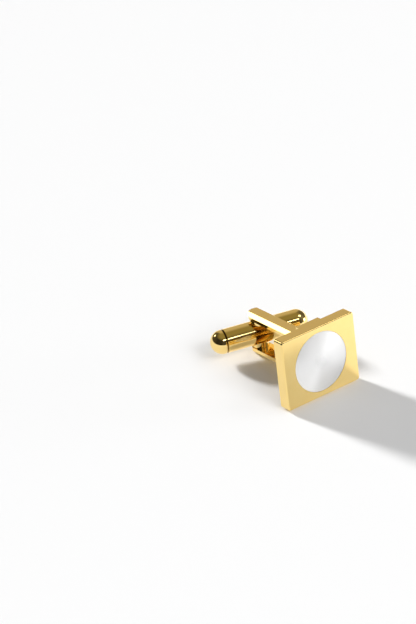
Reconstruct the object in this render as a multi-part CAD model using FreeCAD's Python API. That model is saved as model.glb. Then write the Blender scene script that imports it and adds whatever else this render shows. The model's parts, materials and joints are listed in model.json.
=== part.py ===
import FreeCAD, Part
import math
import os
from FreeCAD import Vector

# Double-arm cufflink with a swivelling toggle, standing as it rests on a table.
# While it is modelled, x runs across the face, y backwards from the face, and z up,
# with the toggle's axis at the height z = 0. Sizes are in millimetres, angles in degrees.

# Face plate
face_width = 16.0
face_height = 13.4
face_thickness = 2.45
face_corner_round = 0.55
face_edge_round = 0.25
face_back_bevel = 0.25

# Round inlay in the plate's window, with a land of plate above and below it
disc_land = 1.05
disc_edge_bevel = 0.08
disc_back_recess = 0.1

# Bar that bridges the window at the back and carries the arms
bridge_width = 4.9
bridge_thickness = 0.7
bridge_edge_round = 0.2

# Two arms, with bevels along their outer edges, flared roots, and round tips about the pin
arm_width = 3.35
arm_thickness = 1.2
arm_bevel_width = 0.7
arm_bevel_height = 0.55
arm_reach = 14.6
root_flare_radius = 0.9
root_flare_sweep = 65.0

# Toggle bar: a long body with one round end, and a separate round cap
toggle_diameter = 4.45
toggle_tail_reach = 9.3
toggle_cap_reach = 9.45
cap_skirt = 0.12
seam_bevel = 0.18
hub_diameter = 3.0
hub_height = 0.5
bore_diameter = 2.4
plug_length = 1.0

# Pivot pin with its click flats, and the sprung plunger that presses on it
pin_diameter = 1.8
pin_flats = 4
pin_flat_depth = 0.15
pin_flat_margin = 0.3
socket_skin = 0.35
plunger_head_length = 1.4
plunger_nose_bevel = 0.2
plunger_stem_diameter = 1.0
plunger_stem_length = 1.2
spring_wire = 0.3
spring_turns = 3

# Clearances: drive fits, running fits, the toggle's end play, the spring's seats,
# and how far the bevel cutter runs past the arm
drive_fit = 0.01
running_fit = 0.05
side_play = 0.05
nose_gap = 0.03
spring_side_gap = 0.1
spring_end_gap = 0.05
bevel_overcut = 0.1

# The toggle as it lies at rest, measured from square to the arms
rest_swivel = -15.0

# Places that follow from the sizes above
ORIGIN = Vector(0, 0, 0)
X_AXIS = Vector(1, 0, 0)
Y_AXIS = Vector(0, 1, 0)
Z_AXIS = Vector(0, 0, 1)
MATCH = 0.01
disc_diameter = face_height - 2 * disc_land
bridge_back = face_thickness + bridge_thickness
pivot_y = bridge_back + arm_reach
toggle_radius = toggle_diameter / 2
arm_inside = toggle_radius + hub_height + side_play
arm_outside = arm_inside + arm_thickness
pin_radius = pin_diameter / 2
seam_x = -(toggle_cap_reach - toggle_radius) + cap_skirt + seam_bevel
bore_radius = bore_diameter / 2
plunger_nose_x = -(pin_radius + nose_gap)
plunger_shoulder_x = plunger_nose_x - plunger_head_length
plug_face_x = seam_x + plug_length


def edges_at(shape, axis, value):
    """Edges that lie wholly at one value of the coordinate x, y or z."""
    found = []
    for edge in shape.Edges:
        box = edge.BoundBox
        low = getattr(box, axis + "Min")
        high = getattr(box, axis + "Max")
        if abs(low - value) < MATCH and abs(high - value) < MATCH:
            found.append(edge)
    return found


def edges_along_y(shape):
    """Straight edges that run from front to back."""
    return [e for e in shape.Edges if e.BoundBox.XLength < MATCH and e.BoundBox.ZLength < MATCH]


def line(start, end):
    return Part.LineSegment(start, end).toShape()


def arc_about(centre, radius, plane, from_angle, to_angle):
    """Arc about a centre in the given plane, through the middle of its two end angles."""
    points = []
    for angle in (from_angle, (from_angle + to_angle) / 2, to_angle):
        turn = math.radians(angle)
        points.append(centre + (plane[0] * math.cos(turn) + plane[1] * math.sin(turn)) * radius)
    return Part.Arc(*points).toShape()


def sides_of(corners):
    """Straight sides of a closed outline."""
    return [line(a, b) for a, b in zip(corners, corners[1:] + corners[:1])]


def face_of(edges):
    return Part.Face(Part.Wire(Part.__sortEdges__(edges)))


def turned_solid(edges, axis):
    """Solid of revolution about an axis through the local origin."""
    return face_of(edges).revolve(ORIGIN, axis, 360)


def make_face_frame():
    corner = Vector(-face_width / 2, 0, -face_height / 2)
    plate = Part.makeBox(face_width, face_thickness, face_height, corner)
    plate = plate.makeFillet(face_corner_round, edges_along_y(plate))
    plate = plate.makeFillet(face_edge_round, edges_at(plate, "Y", 0))
    plate = plate.makeChamfer(face_back_bevel, edges_at(plate, "Y", face_thickness))
    window = Part.makeCylinder(disc_diameter / 2, face_thickness, ORIGIN, Y_AXIS)
    return plate.cut(window)


def make_inlay_disc():
    """Disc with its front flush with the plate and a bevelled rim."""
    radius = disc_diameter / 2 - drive_fit
    back = face_thickness - disc_back_recess
    corners = [
        Vector(0, 0, 0),
        Vector(radius - disc_edge_bevel, 0, 0),
        Vector(radius, disc_edge_bevel, 0),
        Vector(radius, back, 0),
        Vector(0, back, 0),
    ]
    return turned_solid(sides_of(corners), Y_AXIS)


def make_bridge_bar():
    """Bar whose ends hook over the plate's back bevels and lie flush with its top and bottom."""
    half = face_height / 2
    profile = [
        Vector(-bridge_width / 2, face_thickness, half - face_back_bevel),
        Vector(-bridge_width / 2, face_thickness - face_back_bevel, half),
        Vector(-bridge_width / 2, bridge_back, half),
        Vector(-bridge_width / 2, bridge_back, -half),
        Vector(-bridge_width / 2, face_thickness - face_back_bevel, -half),
        Vector(-bridge_width / 2, face_thickness, -half + face_back_bevel),
    ]
    bar = face_of(sides_of(profile)).extrude(X_AXIS * bridge_width)
    return bar.makeFillet(bridge_edge_round, edges_at(bar, "Y", bridge_back))


def make_bevel_cutter(start_y, end_y):
    """Wedge that takes off one long outer edge of the arm, and runs out round at its start."""
    reach = arm_bevel_width + 2 * bevel_overcut
    slope = arm_bevel_height / arm_bevel_width
    rise = Z_AXIS * (reach * slope)
    top_z = arm_outside + bevel_overcut * slope
    foot = Vector(arm_width / 2 + bevel_overcut, start_y + reach, top_z - rise.z)
    section = face_of(sides_of([foot, foot + rise, foot + rise - X_AXIS * reach]))
    run_out = section.revolve(foot, Z_AXIS, 90)
    return section.extrude(Y_AXIS * (end_y + bevel_overcut - foot.y)).fuse(run_out)


def make_upper_arm():
    """Arm cut from its side outline and its plan outline, then bevelled along its outer face."""
    sweep = math.radians(root_flare_sweep)
    flare_length = root_flare_radius * math.sin(sweep)
    flare_height = root_flare_radius * (1 - math.cos(sweep))
    flare_y = bridge_back + flare_length
    tip_y = pivot_y + arm_width / 2
    plane = (Y_AXIS, Z_AXIS)
    outer_centre = Vector(0, flare_y, arm_outside + root_flare_radius)
    inner_centre = Vector(0, flare_y, arm_inside - root_flare_radius)
    outer_root = Vector(0, bridge_back, arm_outside + flare_height)
    inner_root = Vector(0, bridge_back, arm_inside - flare_height)
    side_outline = [
        arc_about(outer_centre, root_flare_radius, plane, 270 - root_flare_sweep, 270),
        line(Vector(0, flare_y, arm_outside), Vector(0, tip_y, arm_outside)),
        line(Vector(0, tip_y, arm_outside), Vector(0, tip_y, arm_inside)),
        line(Vector(0, tip_y, arm_inside), Vector(0, flare_y, arm_inside)),
        arc_about(inner_centre, root_flare_radius, plane, 90, 90 + root_flare_sweep),
        line(inner_root, outer_root),
    ]
    side = face_of(side_outline).extrude(X_AXIS * arm_width)
    side.translate(X_AXIS * (-arm_width / 2))
    half = arm_width / 2
    base = inner_root.z
    tip_centre = Vector(0, pivot_y, base)
    plan_outline = [
        line(Vector(-half, bridge_back, base), Vector(half, bridge_back, base)),
        line(Vector(half, bridge_back, base), Vector(half, pivot_y, base)),
        arc_about(tip_centre, half, (X_AXIS, Y_AXIS), 0, 180),
        line(Vector(-half, pivot_y, base), Vector(-half, bridge_back, base)),
    ]
    plan = face_of(plan_outline).extrude(Z_AXIS * (outer_root.z - base))
    arm = side.common(plan).removeSplitter()
    bevel = make_bevel_cutter(flare_y, tip_y)
    arm = arm.cut(bevel).cut(bevel.mirror(ORIGIN, X_AXIS))
    socket_depth = arm_thickness - socket_skin
    socket = Part.makeCylinder(pin_radius + drive_fit, socket_depth, Vector(0, pivot_y, arm_inside), Z_AXIS)
    return arm.cut(socket)


def make_pivot_pin():
    """Pin whose ends sit in the arms, with flats where the plunger presses."""
    half_length = arm_outside - socket_skin - drive_fit
    pin = Part.makeCylinder(pin_radius, 2 * half_length, Vector(0, 0, -half_length), Z_AXIS)
    flat_height = bore_diameter + 2 * pin_flat_margin
    cutter = Part.makeBox(pin_flat_depth, pin_diameter, flat_height,
                          Vector(pin_radius - pin_flat_depth, -pin_radius, -flat_height / 2))
    for _ in range(pin_flats):
        pin = pin.cut(cutter)
        cutter.rotate(ORIGIN, Z_AXIS, 360 / pin_flats)
    return pin


def make_toggle_body():
    """Turned bar with a round tail, hubs that run between the arms, and bores for pin and plunger."""
    plane = (X_AXIS, Y_AXIS)
    tail_x = toggle_tail_reach - toggle_radius
    shoulder = toggle_radius - seam_bevel
    outline = [
        line(Vector(seam_x, 0, 0), Vector(seam_x, shoulder, 0)),
        line(Vector(seam_x, shoulder, 0), Vector(seam_x + seam_bevel, toggle_radius, 0)),
        line(Vector(seam_x + seam_bevel, toggle_radius, 0), Vector(tail_x, toggle_radius, 0)),
        arc_about(Vector(tail_x, 0, 0), toggle_radius, plane, 90, 0),
        line(Vector(toggle_tail_reach, 0, 0), Vector(seam_x, 0, 0)),
    ]
    body = turned_solid(outline, X_AXIS)
    hub_half = toggle_radius + hub_height
    hub = Part.makeCylinder(hub_diameter / 2, 2 * hub_half, Vector(0, 0, -hub_half), Z_AXIS)
    pin_bore = Part.makeCylinder(pin_radius + running_fit, 2 * hub_half, Vector(0, 0, -hub_half), Z_AXIS)
    plunger_bore = Part.makeCylinder(bore_radius, -seam_x, Vector(seam_x, 0, 0), X_AXIS)
    return body.fuse(hub).cut(pin_bore).cut(plunger_bore)


def make_toggle_end_cap():
    """Round cap with a plug that closes the plunger's bore and backs the spring."""
    plane = (X_AXIS, Y_AXIS)
    dome_x = toggle_radius - toggle_cap_reach
    shoulder = toggle_radius - seam_bevel
    plug_radius = bore_radius - drive_fit
    outline = [
        line(Vector(plug_face_x, 0, 0), Vector(-toggle_cap_reach, 0, 0)),
        arc_about(Vector(dome_x, 0, 0), toggle_radius, plane, 180, 90),
        line(Vector(dome_x, toggle_radius, 0), Vector(dome_x + cap_skirt, toggle_radius, 0)),
        line(Vector(dome_x + cap_skirt, toggle_radius, 0), Vector(seam_x, shoulder, 0)),
        line(Vector(seam_x, shoulder, 0), Vector(seam_x, plug_radius, 0)),
        line(Vector(seam_x, plug_radius, 0), Vector(plug_face_x, plug_radius, 0)),
        line(Vector(plug_face_x, plug_radius, 0), Vector(plug_face_x, 0, 0)),
    ]
    return turned_solid(outline, X_AXIS)


def make_detent_plunger():
    """Plunger with a flat bevelled nose, and a stem that guides the spring."""
    head = bore_radius - running_fit
    stem = plunger_stem_diameter / 2
    stem_end_x = plunger_shoulder_x - plunger_stem_length
    corners = [
        Vector(stem_end_x, 0, 0),
        Vector(stem_end_x, stem, 0),
        Vector(plunger_shoulder_x, stem, 0),
        Vector(plunger_shoulder_x, head, 0),
        Vector(plunger_nose_x - plunger_nose_bevel, head, 0),
        Vector(plunger_nose_x, head - plunger_nose_bevel, 0),
        Vector(plunger_nose_x, 0, 0),
    ]
    return turned_solid(sides_of(corners), X_AXIS)


def tangent_arc(start, direction, end):
    """Arc that leaves start along a unit direction and reaches end."""
    chord = end - start
    across = chord - direction * chord.dot(direction)
    across.normalize()
    centre = start + across * (chord.dot(chord) / (2 * chord.dot(across)))
    outward = (start + end) * 0.5 - centre
    outward.normalize()
    return Part.Arc(start, centre + outward * (start - centre).Length, end).toShape()


def biarc(start, start_direction, end, end_direction):
    """Two arcs that share a tangent and join two points along their unit directions."""
    chord = end - start
    along = chord.dot(start_direction + end_direction)
    spread = 2 * (1 - start_direction.dot(end_direction))
    reach = (math.sqrt(along ** 2 + spread * chord.dot(chord)) - along) / spread
    middle = (start + start_direction * reach + end - end_direction * reach) * 0.5
    middle_direction = (end - end_direction * reach) - (start + start_direction * reach)
    middle_direction.normalize()
    return [tangent_arc(start, start_direction, middle), tangent_arc(middle, middle_direction, end)]


def make_detent_spring():
    """Coil spring as one tube, in half turns, with a short straight run at each end."""
    steps_per_turn = 2
    radius = bore_radius - spring_side_gap - spring_wire / 2
    first_x = plug_face_x + spring_end_gap + spring_wire / 2
    last_x = plunger_shoulder_x - spring_end_gap - spring_wire / 2
    pitch = (last_x - first_x) / spring_turns
    turn_length = math.hypot(2 * math.pi * radius, pitch)

    def coil_point(turn):
        angle = 2 * math.pi * turn
        return Vector(first_x + pitch * turn, radius * math.cos(angle), radius * math.sin(angle))

    def coil_direction(turn):
        angle = 2 * math.pi * turn
        rise = 2 * math.pi * radius
        return Vector(pitch, -rise * math.sin(angle), rise * math.cos(angle)) * (1 / turn_length)

    start = coil_point(0) - coil_direction(0) * spring_wire
    end = coil_point(spring_turns) + coil_direction(spring_turns) * spring_wire
    path = [line(start, coil_point(0))]
    for step in range(steps_per_turn * spring_turns):
        here = step / steps_per_turn
        there = (step + 1) / steps_per_turn
        path += biarc(coil_point(here), coil_direction(here), coil_point(there), coil_direction(there))
    path.append(line(coil_point(spring_turns), end))
    section = Part.Wire(Part.makeCircle(spring_wire / 2, start, coil_direction(0)))
    spring = Part.Wire(path).makePipeShell([section], True, False)

    samples_per_turn = 48
    points = [coil_point(i / samples_per_turn) for i in range(spring_turns * samples_per_turn + 1)]
    apart = samples_per_turn // 2
    gaps = [(q - p).Length for i, p in enumerate(points) for q in points[i + apart:]]
    run = spring_turns * turn_length + 2 * spring_wire
    section_area = math.pi * spring_wire ** 2 / 4
    print(f"spring: least gap to itself {min(gaps) - spring_wire:.3f} mm, "
          f"volume {spring.Volume:.4f} of {section_area * run:.4f} mm3")
    return spring


def rest_lean():
    """Angle at which the bar's lower back edge and the lower arm's tip stand on one level."""
    foot_y = bridge_back - bridge_edge_round
    foot_z = -face_height / 2 + bridge_edge_round
    span = pivot_y + arm_width / 2 - foot_y
    rise = foot_z + arm_outside
    return math.degrees(math.asin(bridge_edge_round / math.hypot(span, rise)) - math.atan2(rise, span))


upper_arm = make_upper_arm()
pivot = Vector(0, pivot_y, 0)
pin = make_pivot_pin()
pin.translate(pivot)
nodes = {
    "face_frame": make_face_frame(),
    "inlay_disc": make_inlay_disc(),
    "bridge_bar": make_bridge_bar(),
    "upper_arm": upper_arm,
    "lower_arm": upper_arm.mirror(ORIGIN, Z_AXIS),
    "pivot_pin": pin,
}
toggle_nodes = {
    "toggle_body": make_toggle_body(),
    "toggle_end_cap": make_toggle_end_cap(),
    "detent_plunger": make_detent_plunger(),
    "detent_spring": make_detent_spring(),
}
for name, shape in toggle_nodes.items():
    shape.rotate(ORIGIN, Z_AXIS, rest_swivel)
    shape.translate(pivot)
    nodes[name] = shape

# Stand the cufflink on the table, with the origin under the middle of its box
lean = FreeCAD.Rotation(X_AXIS, -rest_lean())
standing = {}
for name, shape in nodes.items():
    standing[name] = shape.transformed(FreeCAD.Placement(ORIGIN, lean).toMatrix(), copy=True)
box = Part.makeCompound(list(standing.values())).optimalBoundingBox(False, False)
shift = Vector(-(box.XMin + box.XMax) / 2, -(box.YMin + box.YMax) / 2, -box.ZMin)
os.makedirs("parts", exist_ok=True)
for name, shape in standing.items():
    placed = shape.transformed(FreeCAD.Placement(shift, FreeCAD.Rotation()).toMatrix(), copy=True)
    placed.exportStep(f"parts/{name}.step")
    print(f"{name}: valid {placed.isValid()}, {len(placed.Solids)} solid, {placed.Volume:.2f} mm3")


def show(label, point):
    print(label, [round(value, 4) for value in point])


show("box", (box.XLength, box.YLength, box.ZLength))
show("lean", (rest_lean(),))
show("swivel axis", lean.multVec(Z_AXIS))
show("pivot", lean.multVec(pivot) + shift)
show("middle of the face", lean.multVec(ORIGIN) + shift)
show("outward from the face", lean.multVec(-Y_AXIS))
show("middle of the grip", lean.multVec(Vector(0, bridge_back + arm_reach / 2, 0)) + shift)
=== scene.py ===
# %% [markdown]
# # A gold-plated cufflink on a white table
#
# The cufflink is already built as solids in millimetre-true CAD: a rectangular plate with a round
# inlay, a bridge bar, two arms and a toggle that swivels on a pin. This lesson dresses those
# solids. It sets the camera where the photograph was taken from, gives each metal its finish and
# lights the table like a small product studio. It adds no piece of its own, because every form of
# the cufflink is already in its solids.

# %% Load the solids
import json
import math

import bpy
from mathutils import Matrix, Vector


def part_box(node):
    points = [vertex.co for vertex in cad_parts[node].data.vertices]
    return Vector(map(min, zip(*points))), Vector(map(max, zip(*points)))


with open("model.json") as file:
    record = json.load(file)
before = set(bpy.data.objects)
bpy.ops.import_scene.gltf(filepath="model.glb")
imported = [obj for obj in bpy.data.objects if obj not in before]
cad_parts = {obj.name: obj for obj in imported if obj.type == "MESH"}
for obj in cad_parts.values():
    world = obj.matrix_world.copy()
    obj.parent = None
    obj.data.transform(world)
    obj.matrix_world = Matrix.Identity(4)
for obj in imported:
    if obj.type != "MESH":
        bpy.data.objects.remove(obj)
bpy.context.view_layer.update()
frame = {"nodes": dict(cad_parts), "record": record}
nodes = frame["nodes"]
MM = 0.001
print("nodes:", sorted(nodes))

# %% [markdown]
# ## The camera
#
# The photograph is a close product shot with a long lens, from the left of the plate and well
# above it. A long lens keeps parallel edges nearly parallel, so its distance can't be read off by
# eye: these values come from fitting the plate's corners, the disc and the toggle to the picture.
# The sensor's width goes to the longer side of the image, which here is the height.

# %% Camera
IMAGE_HEIGHT_PX = 624
FOCAL_LENGTH_PX = 2500
SENSOR_MM = 36.0
NEAREST_SEEN = 10 * MM
FURTHEST_SEEN = 20.0
camera_target = Vector((-1.44, 20.70, 1.97)) * MM
camera_distance = 458.3 * MM
camera_azimuth = math.radians(-36.15)
camera_elevation = math.radians(33.65)
camera_roll = math.radians(-1.37)

backwards = Vector((
    math.sin(camera_azimuth) * math.cos(camera_elevation),
    -math.cos(camera_azimuth) * math.cos(camera_elevation),
    math.sin(camera_elevation),
))
sideways = Vector((0, 0, 1)).cross(backwards).normalized()
upwards = backwards.cross(sideways)
level = Matrix((sideways, upwards, backwards)).transposed()

camera_data = bpy.data.cameras.new("product_camera")
camera_data.lens = FOCAL_LENGTH_PX * SENSOR_MM / IMAGE_HEIGHT_PX
camera_data.sensor_width = SENSOR_MM
camera_data.clip_start = NEAREST_SEEN
camera_data.clip_end = FURTHEST_SEEN
camera = bpy.data.objects.new("product_camera", camera_data)
bpy.context.scene.collection.objects.link(camera)
placed = Matrix.Translation(camera_target + backwards * camera_distance)
camera.matrix_world = placed @ (level @ Matrix.Rotation(camera_roll, 3, "Z")).to_4x4()
bpy.context.scene.camera = camera
print("lens in mm:", round(camera_data.lens, 1))

# %% [markdown]
# ## Three helpers for materials
#
# Colours are written as the hex values that a paint program shows, and shaders want linear light,
# so one function converts them. A second small function adds a node with its settings and links,
# which keeps each material readable as a list of steps. A third starts an empty material.

# %% Colour and node helpers
def linear(hex_colour):
    """RGBA in linear light from an sRGB hex value such as "#808080"."""
    channels = []
    for start in (1, 3, 5):
        value = int(hex_colour[start:start + 2], 16) / 255
        channels.append(value / 12.92 if value <= 0.04045 else ((value + 0.055) / 1.055) ** 2.4)
    return (*channels, 1.0)


def add_node(tree, kind, inputs=None, **settings):
    """New node with its settings, whose inputs are plain values or sockets to link from."""
    node = tree.nodes.new(kind)
    for name, value in settings.items():
        setattr(node, name, value)
    for socket, value in (inputs or {}).items():
        if isinstance(value, bpy.types.NodeSocket):
            tree.links.new(value, node.inputs[socket])
        else:
            node.inputs[socket].default_value = value
    return node


def new_material(name):
    """Empty material and its node tree, with only the output left in it."""
    material = bpy.data.materials.new(name)
    material.use_nodes = True
    tree = material.node_tree
    tree.nodes.clear()
    output = tree.nodes.new("ShaderNodeOutputMaterial")
    return material, tree, output


print("a mid grey of #808080 is", round(linear("#808080")[0], 3), "in linear light")

# %% [markdown]
# ## Polished gold plate
#
# The plate, bridge bar, arms and toggle are brass, polished and then plated with a thin pale gold.
# A metal has no colour of its own under a shader: its base colour is the tint of its mirror image.
# One tint and one roughness would make a perfect mirror, which no polished part is. Polishing
# leaves a slow unevenness that bends reflections a little, and a haze that differs from place to
# place, so both come from noise at the size of a polishing wheel's touch. To the eye this is a
# warm mirror in which straight edges waver slightly.

# %% Gold plate material
HAZE_PATCH_MM = 2.4
# The waves are drawn a little deeper than a good polish leaves them, so that they show
POLISH_WAVE_MM = 1.6
POLISH_WAVE_DEPTH_MM = 0.004
POLISH_WAVE_STRENGTH = 0.25
DEEP_TINT = "#FBDA8A"
PALE_TINT = "#FFE29A"
CLEAR_ROUGHNESS = 0.05
HAZY_ROUGHNESS = 0.09
# Nearly all of a noise texture lies between these two values
NOISE_LOW = 0.3
NOISE_HIGH = 0.7


def make_gold_plate(name, darken=None):
    """Gold plate as a warm, slightly wavering mirror, whose tint a darken function may change."""
    material, tree, output = new_material(name)
    place = add_node(tree, "ShaderNodeTexCoord").outputs["Object"]
    haze = add_node(tree, "ShaderNodeTexNoise", {
        "Vector": place, "Scale": 1 / (HAZE_PATCH_MM * MM), "Detail": 4.0, "Roughness": 0.6})
    tint = add_node(tree, "ShaderNodeMix", {
        "Factor": haze.outputs["Fac"], "A": linear(DEEP_TINT), "B": linear(PALE_TINT)},
        data_type="RGBA")
    colour = tint.outputs["Result"]
    if darken:
        colour = darken(tree, place, colour)
    polish = add_node(tree, "ShaderNodeMapRange", {
        "Value": haze.outputs["Fac"], "From Min": NOISE_LOW, "From Max": NOISE_HIGH,
        "To Min": CLEAR_ROUGHNESS, "To Max": HAZY_ROUGHNESS})
    wave = add_node(tree, "ShaderNodeTexNoise", {
        "Vector": place, "Scale": 1 / (POLISH_WAVE_MM * MM), "Detail": 1.0})
    bump = add_node(tree, "ShaderNodeBump", {
        "Height": wave.outputs["Fac"], "Strength": POLISH_WAVE_STRENGTH,
        "Distance": POLISH_WAVE_DEPTH_MM * MM})
    shader = add_node(tree, "ShaderNodeBsdfPrincipled", {
        "Base Color": colour, "Roughness": polish.outputs["Result"],
        "Normal": bump.outputs["Normal"], "Metallic": 1.0})
    tree.links.new(shader.outputs["BSDF"], output.inputs["Surface"])
    return material


gold_plate = make_gold_plate("polished_gold_plate")
print("made", gold_plate.name)

# %% [markdown]
# ## The seam of the end cap
#
# The end cap closes the toggle's bore, and a fine groove runs round the toggle where the two meet.
# Polish stays in that groove and darkens it. A dark ring could be modelled there, but on the real
# toggle nothing stands in the groove, and the groove itself is in the solids. So the toggle gets a
# second version of the finish, whose tint turns brown close to the plane of the seam.

# %% Gold plate with the seam
SEAM_FROM_PIN_MM = 6.925
RESIDUE_FULL_MM = 0.08
RESIDUE_ENDS_MM = 0.2
RESIDUE_TINT = "#8A6A28"
swivel = Vector(frame["record"]["behaviour"]["joints"][0]["pos_m"])
cap_low, cap_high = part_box("toggle_end_cap")
bar_axis = ((cap_low + cap_high) / 2 - swivel).normalized()
cap_seam = swivel + bar_axis * SEAM_FROM_PIN_MM * MM


def darken_seam(tree, place, colour):
    """Colour socket that turns to the tint of old polish near the seam."""
    from_seam = add_node(tree, "ShaderNodeVectorMath", {
        0: place, 1: cap_seam}, operation="SUBTRACT")
    along_bar = add_node(tree, "ShaderNodeVectorMath", {
        0: from_seam.outputs[0], 1: bar_axis}, operation="DOT_PRODUCT")
    apart = add_node(tree, "ShaderNodeMath", {
        0: along_bar.outputs["Value"]}, operation="ABSOLUTE")
    residue = add_node(tree, "ShaderNodeMapRange", {
        "Value": apart.outputs[0], "From Min": RESIDUE_FULL_MM * MM,
        "From Max": RESIDUE_ENDS_MM * MM, "To Min": 1.0, "To Max": 0.0})
    darkened = add_node(tree, "ShaderNodeMix", {
        "Factor": residue.outputs["Result"], "A": colour, "B": linear(RESIDUE_TINT)},
        data_type="RGBA")
    return darkened.outputs["Result"]


toggle_plate = make_gold_plate("polished_gold_plate_with_seam", darken=darken_seam)
print("made", toggle_plate.name, "with its seam at", [round(c / MM, 2) for c in cap_seam])

# %% [markdown]
# ## Turned satin white metal
#
# The inlay is a disc of white metal whose face was satin-finished on a spindle: fine grooves run
# round its centre. Such grooves blur a reflection across themselves and not along themselves, and
# that draws the bright and grey fans that turn about the centre. The grooves could be modelled,
# but they are far finer than a pixel. Instead the shader is told which way is outwards from the
# centre, and stretches its blur that way. Near the centre the abrasive hardly moves over the metal
# and cuts less, so the finish is smoother there and the fans fade out.

# %% Which way is outwards on the disc
disc_low, disc_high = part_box("inlay_disc")
disc_middle = (disc_low + disc_high) / 2
disc_radius = (disc_high.x - disc_low.x) / 2
face_out = Vector(next(m["axis"] for m in frame["record"]["mounts"] if m["name"] == "front_face"))

turned_satin, tree, output = new_material("turned_satin_white_metal")
place = add_node(tree, "ShaderNodeTexCoord").outputs["Object"]
outwards = add_node(tree, "ShaderNodeVectorMath", {
    0: place, 1: disc_middle}, operation="SUBTRACT")
along = add_node(tree, "ShaderNodeVectorMath", {
    0: outwards.outputs[0], 1: face_out}, operation="DOT_PRODUCT")
depth = add_node(tree, "ShaderNodeVectorMath", {
    0: face_out, "Scale": along.outputs["Value"]}, operation="SCALE")
radial = add_node(tree, "ShaderNodeVectorMath", {
    0: outwards.outputs[0], 1: depth.outputs[0]}, operation="SUBTRACT")
radius = add_node(tree, "ShaderNodeVectorMath", {0: radial.outputs[0]}, operation="LENGTH")
tangent = add_node(tree, "ShaderNodeVectorMath", {0: radial.outputs[0]}, operation="NORMALIZE")
print("disc middle in mm:", [round(c / MM, 2) for c in disc_middle])
print("disc radius in mm:", round(disc_radius / MM, 2))

# %% [markdown]
# ## The grooves of the disc
#
# With the radius at hand, the rest of the finish needs one noise that changes only with the
# radius. It varies the roughness from groove to groove and raises them slightly. A wave texture
# would draw rings as well, but all alike. To the eye this is a soft silver sheen, neither mirror
# nor paint, with a hint of rings in it.

# %% Satin disc material
# Real grooves are some hundredths of a millimetre apart: these are coarser, so that they show
GROOVE_MM = 0.16
GROOVE_DEPTH_MM = 0.003
GROOVE_STRENGTH = 0.15
MIDDLE_ROUGHNESS = 0.2
RIM_ROUGHNESS = 0.54
GROOVE_ROUGHNESS = 0.03
BLUR_STRETCH = 0.68
groove = add_node(tree, "ShaderNodeTexNoise", {
    "W": radius.outputs["Value"], "Scale": 1 / (GROOVE_MM * MM), "Detail": 3.0},
    noise_dimensions="1D")
coarser = add_node(tree, "ShaderNodeMapRange", {
    "Value": radius.outputs["Value"], "From Max": disc_radius,
    "To Min": MIDDLE_ROUGHNESS, "To Max": RIM_ROUGHNESS})
uneven = add_node(tree, "ShaderNodeMapRange", {
    "Value": groove.outputs["Fac"], "From Min": NOISE_LOW, "From Max": NOISE_HIGH,
    "To Min": -GROOVE_ROUGHNESS, "To Max": GROOVE_ROUGHNESS})
satin = add_node(tree, "ShaderNodeMath", {
    0: coarser.outputs["Result"], 1: uneven.outputs["Result"]}, operation="ADD")
bump = add_node(tree, "ShaderNodeBump", {
    "Height": groove.outputs["Fac"], "Strength": GROOVE_STRENGTH,
    "Distance": GROOVE_DEPTH_MM * MM})
shader = add_node(tree, "ShaderNodeBsdfPrincipled", {
    "Base Color": linear("#FFFFFF"), "Roughness": satin.outputs[0],
    "Normal": bump.outputs["Normal"], "Tangent": tangent.outputs[0],
    "Metallic": 1.0, "Anisotropic": BLUR_STRETCH})
tree.links.new(shader.outputs["BSDF"], output.inputs["Surface"])
print("made", turned_satin.name, "with grooves of", GROOVE_MM, "mm")

# %% [markdown]
# ## Spring steel
#
# The pin, plunger and spring work out of sight inside the toggle. They are plain drawn steel, to
# the eye a dull grey next to the plating. Steel of this kind looks faintly mottled, so a fine
# noise varies its roughness. Lines along each wire would need a direction for every turn of the
# spring, which is too much for pieces that are hardly ever seen.

# %% Steel material
# The mottling of drawn steel is finer than this: it is coarser here, so that it shows
MOTTLE_MM = 0.1
STEEL_SMOOTH_ROUGHNESS = 0.28
STEEL_DULL_ROUGHNESS = 0.4
spring_steel, tree, output = new_material("drawn_spring_steel")
place = add_node(tree, "ShaderNodeTexCoord").outputs["Object"]
mottle = add_node(tree, "ShaderNodeTexNoise", {
    "Vector": place, "Scale": 1 / (MOTTLE_MM * MM), "Detail": 2.0})
dull = add_node(tree, "ShaderNodeMapRange", {
    "Value": mottle.outputs["Fac"], "From Min": NOISE_LOW, "From Max": NOISE_HIGH,
    "To Min": STEEL_SMOOTH_ROUGHNESS, "To Max": STEEL_DULL_ROUGHNESS})
shader = add_node(tree, "ShaderNodeBsdfPrincipled", {
    "Base Color": linear("#B9BABD"), "Roughness": dull.outputs["Result"], "Metallic": 1.0})
tree.links.new(shader.outputs["BSDF"], output.inputs["Surface"])
print("made", spring_steel.name)

# %% [markdown]
# ## A finish for every solid
#
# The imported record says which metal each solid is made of, as the name of a material slot. Naming
# the finish of every solid by hand would work too, but a table from slot to finish can't miss one.
# Only the two pieces of the toggle that meet at the seam take the finish that has the seam in it.

# %% Give each node its finish
finishes = {"gold_plate": gold_plate, "satin_white_metal": turned_satin, "steel": spring_steel}
SEAM_NODES = ("toggle_body", "toggle_end_cap")
for part in frame["record"]["subparts"]:
    node = nodes[part["node"]]
    finish = finishes[part["material_slot"]]
    if part["node"] in SEAM_NODES:
        finish = toggle_plate
    node.data.materials.clear()
    node.data.materials.append(finish)
    print(part["node"], "is", finish.name)
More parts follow.
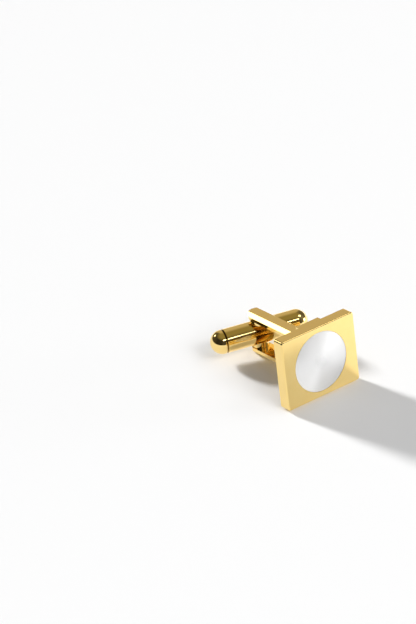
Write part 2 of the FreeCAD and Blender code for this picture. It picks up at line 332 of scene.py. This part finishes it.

# %% [markdown]
# ## The white table
#
# The cufflink stands on a seamless white surface. A backdrop could rise behind it, but the camera
# looks down and would not see it, so the floor here is one large matt white sheet. It is lit by
# the same lamps as the cufflink, so it keeps the shadow. In the polished metal a real table looks
# paler than under a single lamp, because light comes back at it from all around. So mirror rays
# see the sheet with a painted glow mixed in, an emission that only reflections show. The painted
# glow is stronger on the right, which is why the right half of the plate is the paler one.

# %% Floor
FLOOR_SIDE = 4.0
FLOOR_GLOW_SHARE = 0.22
GLOW_LEFT_MM = -12
GLOW_RIGHT_MM = 60
GLOW_LEFT_STRENGTH = 0.85
GLOW_RIGHT_STRENGTH = 3.2
bpy.ops.mesh.primitive_plane_add(size=FLOOR_SIDE)
floor = bpy.context.object
floor.name = "white_table"

matt_white, tree, output = new_material("matt_white_table")
matt = add_node(tree, "ShaderNodeBsdfDiffuse", {"Color": linear("#F4F4F4")})
place = add_node(tree, "ShaderNodeTexCoord").outputs["Object"]
across = add_node(tree, "ShaderNodeSeparateXYZ", {0: place}).outputs["X"]
# Painted glow: an emission that only mirror rays see, painted brighter towards the right
painted_glow_strength = add_node(tree, "ShaderNodeMapRange", {
    "Value": across, "From Min": GLOW_LEFT_MM * MM, "From Max": GLOW_RIGHT_MM * MM,
    "To Min": GLOW_LEFT_STRENGTH, "To Max": GLOW_RIGHT_STRENGTH})
painted_glow = add_node(tree, "ShaderNodeEmission", {"Strength": painted_glow_strength.outputs["Result"]})
mirror_ray = add_node(tree, "ShaderNodeLightPath").outputs["Is Glossy Ray"]
share = add_node(tree, "ShaderNodeMath", {
    0: mirror_ray, 1: FLOOR_GLOW_SHARE}, operation="MULTIPLY")
seen = add_node(tree, "ShaderNodeMixShader", {
    0: share.outputs[0], 1: matt.outputs[0], 2: painted_glow.outputs[0]})
tree.links.new(seen.outputs[0], output.inputs["Surface"])
floor.data.materials.append(matt_white)
print("floor side in m:", FLOOR_SIDE)

# %% [markdown]
# ## Lamps that light
#
# Shadows tell where lamps stand. The long soft-edged shadow falls towards the front right, so the
# key lamp stands low behind the cufflink, a little to its left, and its angle sets how soft the
# edge is. A wide fill lamp in front lifts that shadow to a light grey. The metal could mirror the
# same two lamps, but there they would be small and glaring and would scatter bright flecks over
# the table, so mirror rays don't see them.

# %% Lamps
# In metres, far enough for every lamp to stand clear of the cufflink
LAMP_DISTANCE = 1.5


def towards(heading, elevation):
    """Unit vector at a heading, counted from the x axis, and an elevation, both in degrees."""
    turn = math.radians(heading)
    rise = math.radians(elevation)
    return Vector((
        math.cos(turn) * math.cos(rise), math.sin(turn) * math.cos(rise), math.sin(rise)))


def add_lamp(name, kind, direction, **settings):
    """Lamp that looks at the cufflink from a direction."""
    data = bpy.data.lights.new(name, kind)
    for setting, value in settings.items():
        setattr(data, setting, value)
    lamp = bpy.data.objects.new(name, data)
    bpy.context.scene.collection.objects.link(lamp)
    lamp.location = direction * LAMP_DISTANCE
    lamp.rotation_mode = "QUATERNION"
    lamp.rotation_quaternion = direction.to_track_quat("Z", "Y")
    print(name, "stands towards", [round(c, 2) for c in direction])
    return lamp


# Heading and elevation in degrees, strength, and the angle across the lamp in degrees
far_lamps = {
    "key_lamp": (107.5, 23.5, 3.8, 8.4),
    "fill_lamp": (-80, 40, 0.97, 30),
}
for name, (heading, elevation, strength, angle) in far_lamps.items():
    lamp = add_lamp(
        name, "SUN", towards(heading, elevation), energy=strength, angle=math.radians(angle))
    lamp.visible_glossy = False

# %% [markdown]
# ## Softboxes that show
#
# Softboxes of a moderate brightness are what the metal sees in place of those lamps. One behind
# whitens the bevel of the upper arm, and a long one in front draws the white line along the
# toggle. That line stops short of the arms, so the box ends there, and a small one beside it
# lights the far end. One high on the right lights the upper edge of the plate, and one low on the
# right whitens two fans of the disc. White cards could do the same, but a lamp that can be seen
# makes less noise in the render.

# %% Softboxes
# Heading and elevation in degrees, width and height in metres, and power in watts
softboxes = {
    "key_softbox": (109, 26, 0.32, 0.32, 1.06),
    "edge_softbox": (-32, 55, 0.4, 0.4, 1.5),
    "side_softbox": (-30, 7, 0.5, 0.36, 3.1),
    "front_softbox": (-99.8, 46.1, 0.6, 0.18, 2.05),
    "tail_softbox": (-78.5, 45, 0.12, 0.18, 0.41),
}
for name, (heading, elevation, width, height, power) in softboxes.items():
    add_lamp(
        name, "AREA", towards(heading, elevation), shape="RECTANGLE",
        size=width, size_y=height, energy=power)

# %% [markdown]
# ## The room in the metal
#
# Polished metal is a picture of what stands round it, so the room matters as much as the lamps.
# Most of this room is dark, the far wall on the right is pale and warm, and the ceiling is olive.
# That draws the near-black ends of the toggle and the olive tone of the faces that look up. A
# picture of a real studio could be wrapped round the scene, but a few painted walls are easier to
# tune. Their tones go by heading, as the places of the lamps do, and turn into the ceiling
# overhead.

# %% Walls and ceiling
CEILING_TONE = "#90865C"
# Heights of a direction, from 0 at the horizon to 1 overhead, between which wall turns to ceiling
WALL_ENDS = 0.7
CEILING_STARTS = 0.95
# Tone of the wall at each heading in degrees
wall_tones = {
    -180: "#2A2926", -135: "#34322E", -110: "#4A4845", -75: "#4A4845",
    -40: "#8A867E", 0: "#5A574E", 30: "#6E685A", 45: "#C4B89F",
    72: "#C4B89F", 88: "#5A5446", 145: "#45413A", 180: "#2A2926",
}

room = bpy.data.worlds.new("studio_room")
bpy.context.scene.world = room
room.use_nodes = True
tree = room.node_tree
tree.nodes.clear()
output = tree.nodes.new("ShaderNodeOutputWorld")
direction = add_node(tree, "ShaderNodeTexCoord").outputs["Generated"]
along = add_node(tree, "ShaderNodeSeparateXYZ", {0: direction}).outputs
heading = add_node(tree, "ShaderNodeMath", {0: along["Y"], 1: along["X"]}, operation="ARCTAN2")
turn = add_node(tree, "ShaderNodeMapRange", {
    "Value": heading.outputs[0], "From Min": -math.pi, "From Max": math.pi})
walls = add_node(tree, "ShaderNodeValToRGB", {"Fac": turn.outputs["Result"]})
stops = walls.color_ramp.elements
while len(stops) < len(wall_tones):
    stops.new(0.5)
for stop, (degrees, tone) in zip(stops, sorted(wall_tones.items())):
    stop.position = (degrees + 180) / 360
    stop.color = linear(tone)
rise = add_node(tree, "ShaderNodeMapRange", {
    "Value": along["Z"], "From Min": WALL_ENDS, "From Max": CEILING_STARTS})
mirrored = add_node(tree, "ShaderNodeMix", {
    "Factor": rise.outputs["Result"], "A": walls.outputs["Color"],
    "B": linear(CEILING_TONE)}, data_type="RGBA")
print("room tones by heading:", wall_tones)

# %% [markdown]
# ## Who sees which room
#
# One room for everything would tint the table with its walls. So only mirror rays see the painted
# room. Matt surfaces see an even white room instead, which keeps the table clean, and the camera
# sees plain white past the table's edge. The Standard view transform then shows each colour about
# as it is written.

# %% Room
ROOM_STRENGTH = 0.24
light_path = add_node(tree, "ShaderNodeLightPath").outputs
matt_room = add_node(tree, "ShaderNodeBackground", {
    "Color": linear("#FFFFFF"), "Strength": ROOM_STRENGTH})
mirror_room = add_node(tree, "ShaderNodeBackground", {"Color": mirrored.outputs["Result"]})
seen_room = add_node(tree, "ShaderNodeBackground", {"Color": linear("#FFFFFF")})
lit = add_node(tree, "ShaderNodeMixShader", {
    0: light_path["Is Glossy Ray"], 1: matt_room.outputs[0], 2: mirror_room.outputs[0]})
seen = add_node(tree, "ShaderNodeMixShader", {
    0: light_path["Is Camera Ray"], 1: lit.outputs[0], 2: seen_room.outputs[0]})
tree.links.new(seen.outputs[0], output.inputs["Surface"])
bpy.context.scene.view_settings.view_transform = "Standard"
print("made", room.name, "with a matt strength of", ROOM_STRENGTH)
